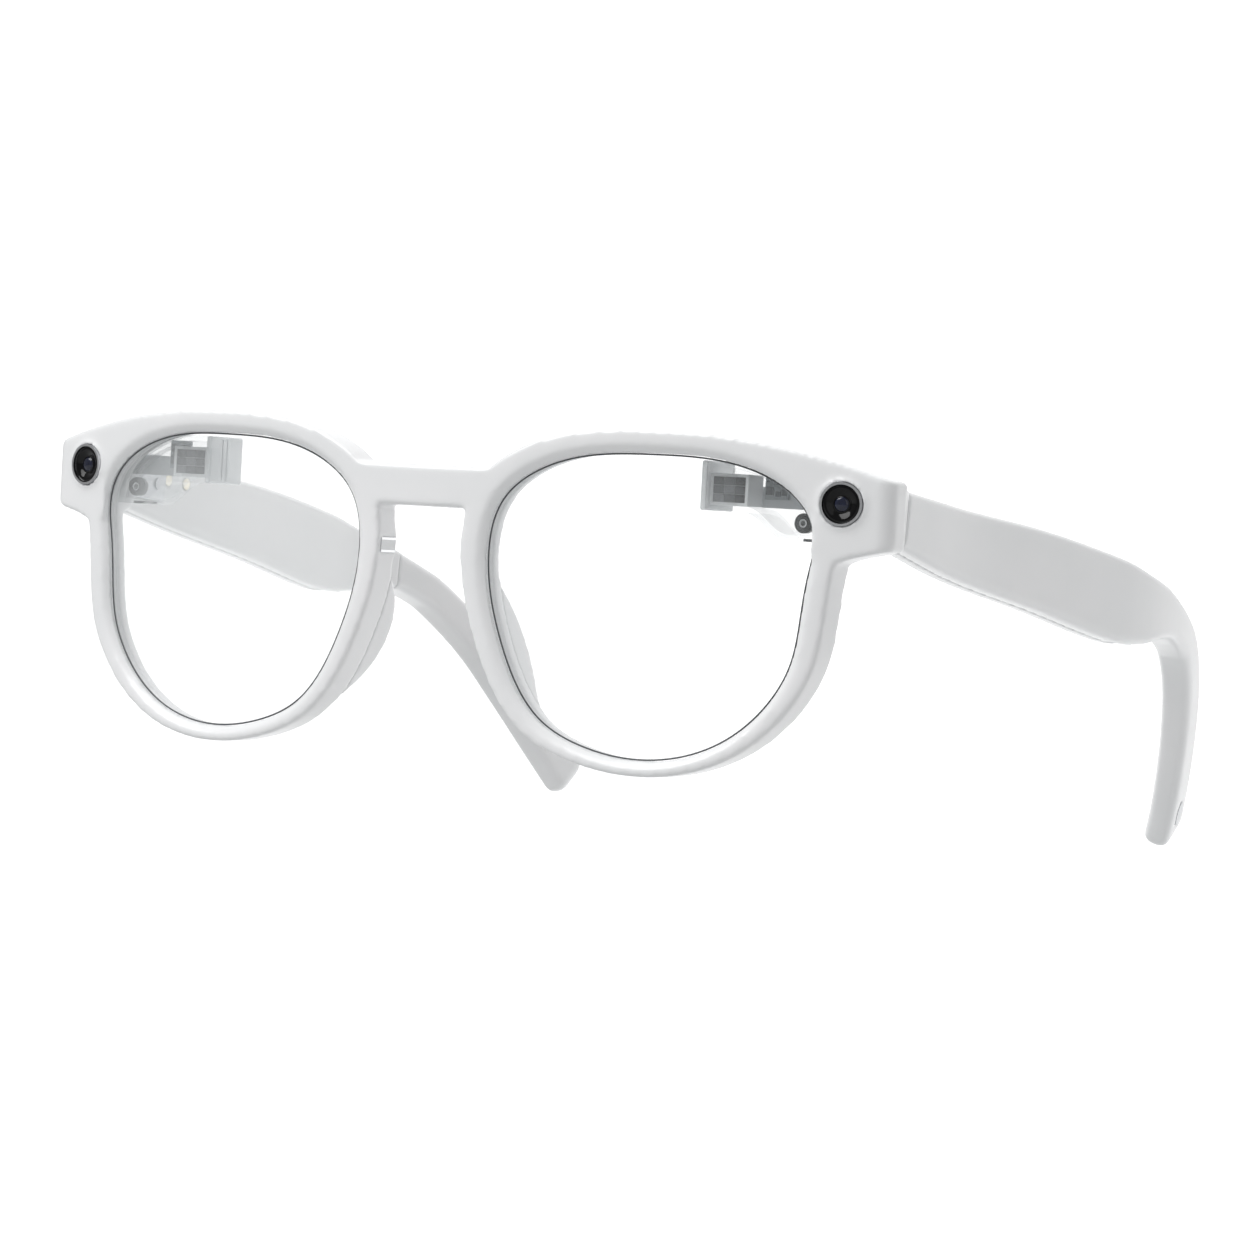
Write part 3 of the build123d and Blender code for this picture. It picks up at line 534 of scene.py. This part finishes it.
def lensEdgeShade(side):
    # painted shade: a dark tube laid just inside the lens's front edge, standing in for the shade
    # in the gap where the lens runs into its groove
    build = bmesh.new()
    build.from_mesh(nodes[f"lens_{side}"].data)
    bmesh.ops.remove_doubles(build, verts=build.verts, dist=edgeLine["weldDistance"])
    sharp = [e for e in build.edges if len(e.link_faces) == 2
             and e.calc_face_angle() > edgeLine["sharp"]]
    beside = {}
    for edge in sharp:
        for vertex in edge.verts:
            beside.setdefault(vertex, []).append(edge.other_vert(vertex))
    loops = []
    while beside:
        loop = [next(iter(beside))]
        while True:
            onward = [v for v in beside.pop(loop[-1], []) if v in beside]
            if not onward:
                break
            loop.append(onward[0])
        loops.append(loop)
    loops = sorted(loops, key=len)[-2:]  # the front and the rear edge
    upright = frontTilt.inverted()
    front = min(loops, key=lambda loop: sum((upright @ v.co).y for v in loop) / len(loop))
    centre = sum((v.co for v in front), Vector()) / len(front)
    line = bpy.data.curves.new(f"lens_edge_{side}", "CURVE")
    line.dimensions = "3D"
    line.bevel_depth = edgeLine["radiusMm"] * mm
    line.bevel_resolution = 2
    spline = line.splines.new("POLY")
    spline.points.add(len(front) - 1)
    for point, vertex in zip(spline.points, front):
        inwards = (centre - vertex.co).normalized() * edgeLine["insetMm"] * mm
        point.co = (*(vertex.co + inwards), 1)
    spline.use_cyclic_u = True
    build.free()
    print("lens edge", side, len(front), "points")
    piece = bpy.data.objects.new(f"lens_edge_line_{side}", line)
    bpy.context.scene.collection.objects.link(piece)
    # the dark tile grey paints the shade of the gap round the lens
    line.materials.append(materials["darkTileAndEdgeShade"])
    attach(piece, "front")


for side in sides:
    cameraWindow(side)
    endCap(side)
    lensEdgeShade(side)
    eyeSensor(side)
    displayEngine(side)
    displayBoard(side)
print("cameras, sensors and displays ready")

# which material each carried-over CAD piece takes, by the start of its name
finishes = {
    "lens": "lens", "display_housing": "housing", "display_tray": "tray",
    "camera_ring": "ring", "camera_barrel": "blackPlastic", "camera_board": "board",
    "camera_lens": "coatedGlass",
    "sensor_ports": "blackGlass", "pad_clips": "clipBand", "hinge": "steel", "temple_leaf": "steel",
    "temple_screws": "steel", "tip_wire": "steel", "tip_badge": "badge", "battery": "foil",
    "speaker_grille": "steel", "speaker": "blackPlastic", "main_board": "board",
    "button_dome": "steel", "charge_contacts": "gold", "capture_button": "whiteShell",
    "power_switch": "whiteShell",
}
for name, node in nodes.items():
    for start, finish in finishes.items():
        if name.startswith(start):
            for slot in node.material_slots:
                slot.material = materials[finish]
            break
print("carried-over pieces finished")

# the paper's glow is painted light: how strongly it shines, and at what depth it starts and is full
stage = {"floorMm": -150, "reachMm": 2600, "bendMm": 500, "bendSteps": 16, "pale": "#c4c5c5",
         "shade": "#c0c1c1", "grainMm": 40.0, "rough": 0.9, "paintedGlow": 0.9, "paintedGlowStartMm": 100,
         "paintedGlowFullMm": 380}


def studioSweep():
    # seamless matte paper, a floor that curves up into the wall: no highlight and no corner
    material, tree, shader = newMaterial(
        "matte_white_paper", {"Roughness": stage["rough"], "Emission Color": linear("#ffffff")})
    grain = surfaceNoise(tree, stage["grainMm"])
    tree.links.new(rampBetween(tree, grain, linear(stage["shade"]), linear(stage["pale"])),
                   shader.inputs["Base Color"])
    # painted light: past the table the paper itself glows, more with depth, so it reads as lit from
    # behind and goes to white there
    place = addNode(tree, "ShaderNodeTexCoord").outputs["Object"]
    depth = addNode(tree, "ShaderNodeSeparateXYZ", links={"Vector": place}).outputs["Y"]
    paintedGlow = addNode(tree, "ShaderNodeMapRange",
                   {"From Min": stage["paintedGlowStartMm"] * mm, "From Max": stage["paintedGlowFullMm"] * mm,
                    "To Max": stage["paintedGlow"]}, {"Value": depth}, interpolation_type="SMOOTHSTEP")
    tree.links.new(paintedGlow.outputs["Result"], shader.inputs["Emission Strength"])
    build = bmesh.new()
    floor, reach, bend = (stage[key] * mm for key in ("floorMm", "reachMm", "bendMm"))
    steps = stage["bendSteps"]
    profile = [(-reach, floor)]
    for k in range(steps + 1):
        angle = math.pi / 2 * k / steps
        profile.append((reach - bend + bend * math.sin(angle),
                        floor + bend - bend * math.cos(angle)))
    profile.append((reach, floor + reach))
    rows = [[build.verts.new((x, y, z)) for x in (-reach, reach)] for y, z in profile]
    for near, far in zip(rows, rows[1:]):
        build.faces.new((near[0], near[1], far[1], far[0])).smooth = True
    mesh = finishMesh(build, "sweep", [material])
    sweep = bpy.data.objects.new("studio_sweep", mesh)
    bpy.context.scene.collection.objects.link(sweep)


lamps = {
    "key": {"at": (-0.5, -0.7, 0.9), "size": 0.9, "watts": 14.0},
    "fill": {"at": (0.9, -0.6, 0.3), "size": 1.0, "watts": 1.6},
    "top": {"at": (0.0, 0.3, 1.1), "size": 1.2, "watts": 5.0},
}
lampAim = Vector((0, 0.05, -0.015))
roomLight = 0.32


def studioLights():
    for name, lamp in lamps.items():
        light = bpy.data.lights.new(name, "AREA")
        light.size = lamp["size"]
        light.energy = lamp["watts"]
        holder = bpy.data.objects.new(name, light)
        holder.location = lamp["at"]
        holder.rotation_euler = (lampAim - Vector(lamp["at"])).to_track_quat("-Z", "Y").to_euler()
        bpy.context.scene.collection.objects.link(holder)
    world = bpy.data.worlds.new("soft_room")
    world.use_nodes = True
    background = world.node_tree.nodes["Background"]
    background.inputs["Color"].default_value = linear("#ffffff")
    background.inputs["Strength"].default_value = roomLight
    bpy.context.scene.world = world


view = {"at": (0.38662, -0.60298, -0.05899), "lensMm": 140.16, "sensorMm": 36.0, "nearMm": 10.0,
        "right": (0.86370, 0.49368, 0.10149), "up": (-0.05959, -0.09993, 0.99321),
        "ahead": (-0.50047, 0.86389, 0.05689)}


def studioCamera():
    camera = bpy.data.cameras.new("camera")
    camera.lens = view["lensMm"]
    camera.sensor_width = view["sensorMm"]
    camera.clip_start = view["nearMm"] * mm
    holder = bpy.data.objects.new("camera", camera)
    back = -Vector(view["ahead"])
    turn = Matrix((view["right"], view["up"], back)).transposed().to_4x4()
    holder.matrix_world = Matrix.Translation(view["at"]) @ turn
    bpy.context.scene.collection.objects.link(holder)
    bpy.context.scene.camera = holder


studioSweep()
studioLights()
studioCamera()
bpy.context.scene.view_settings.view_transform = "Standard"
print("studio ready")
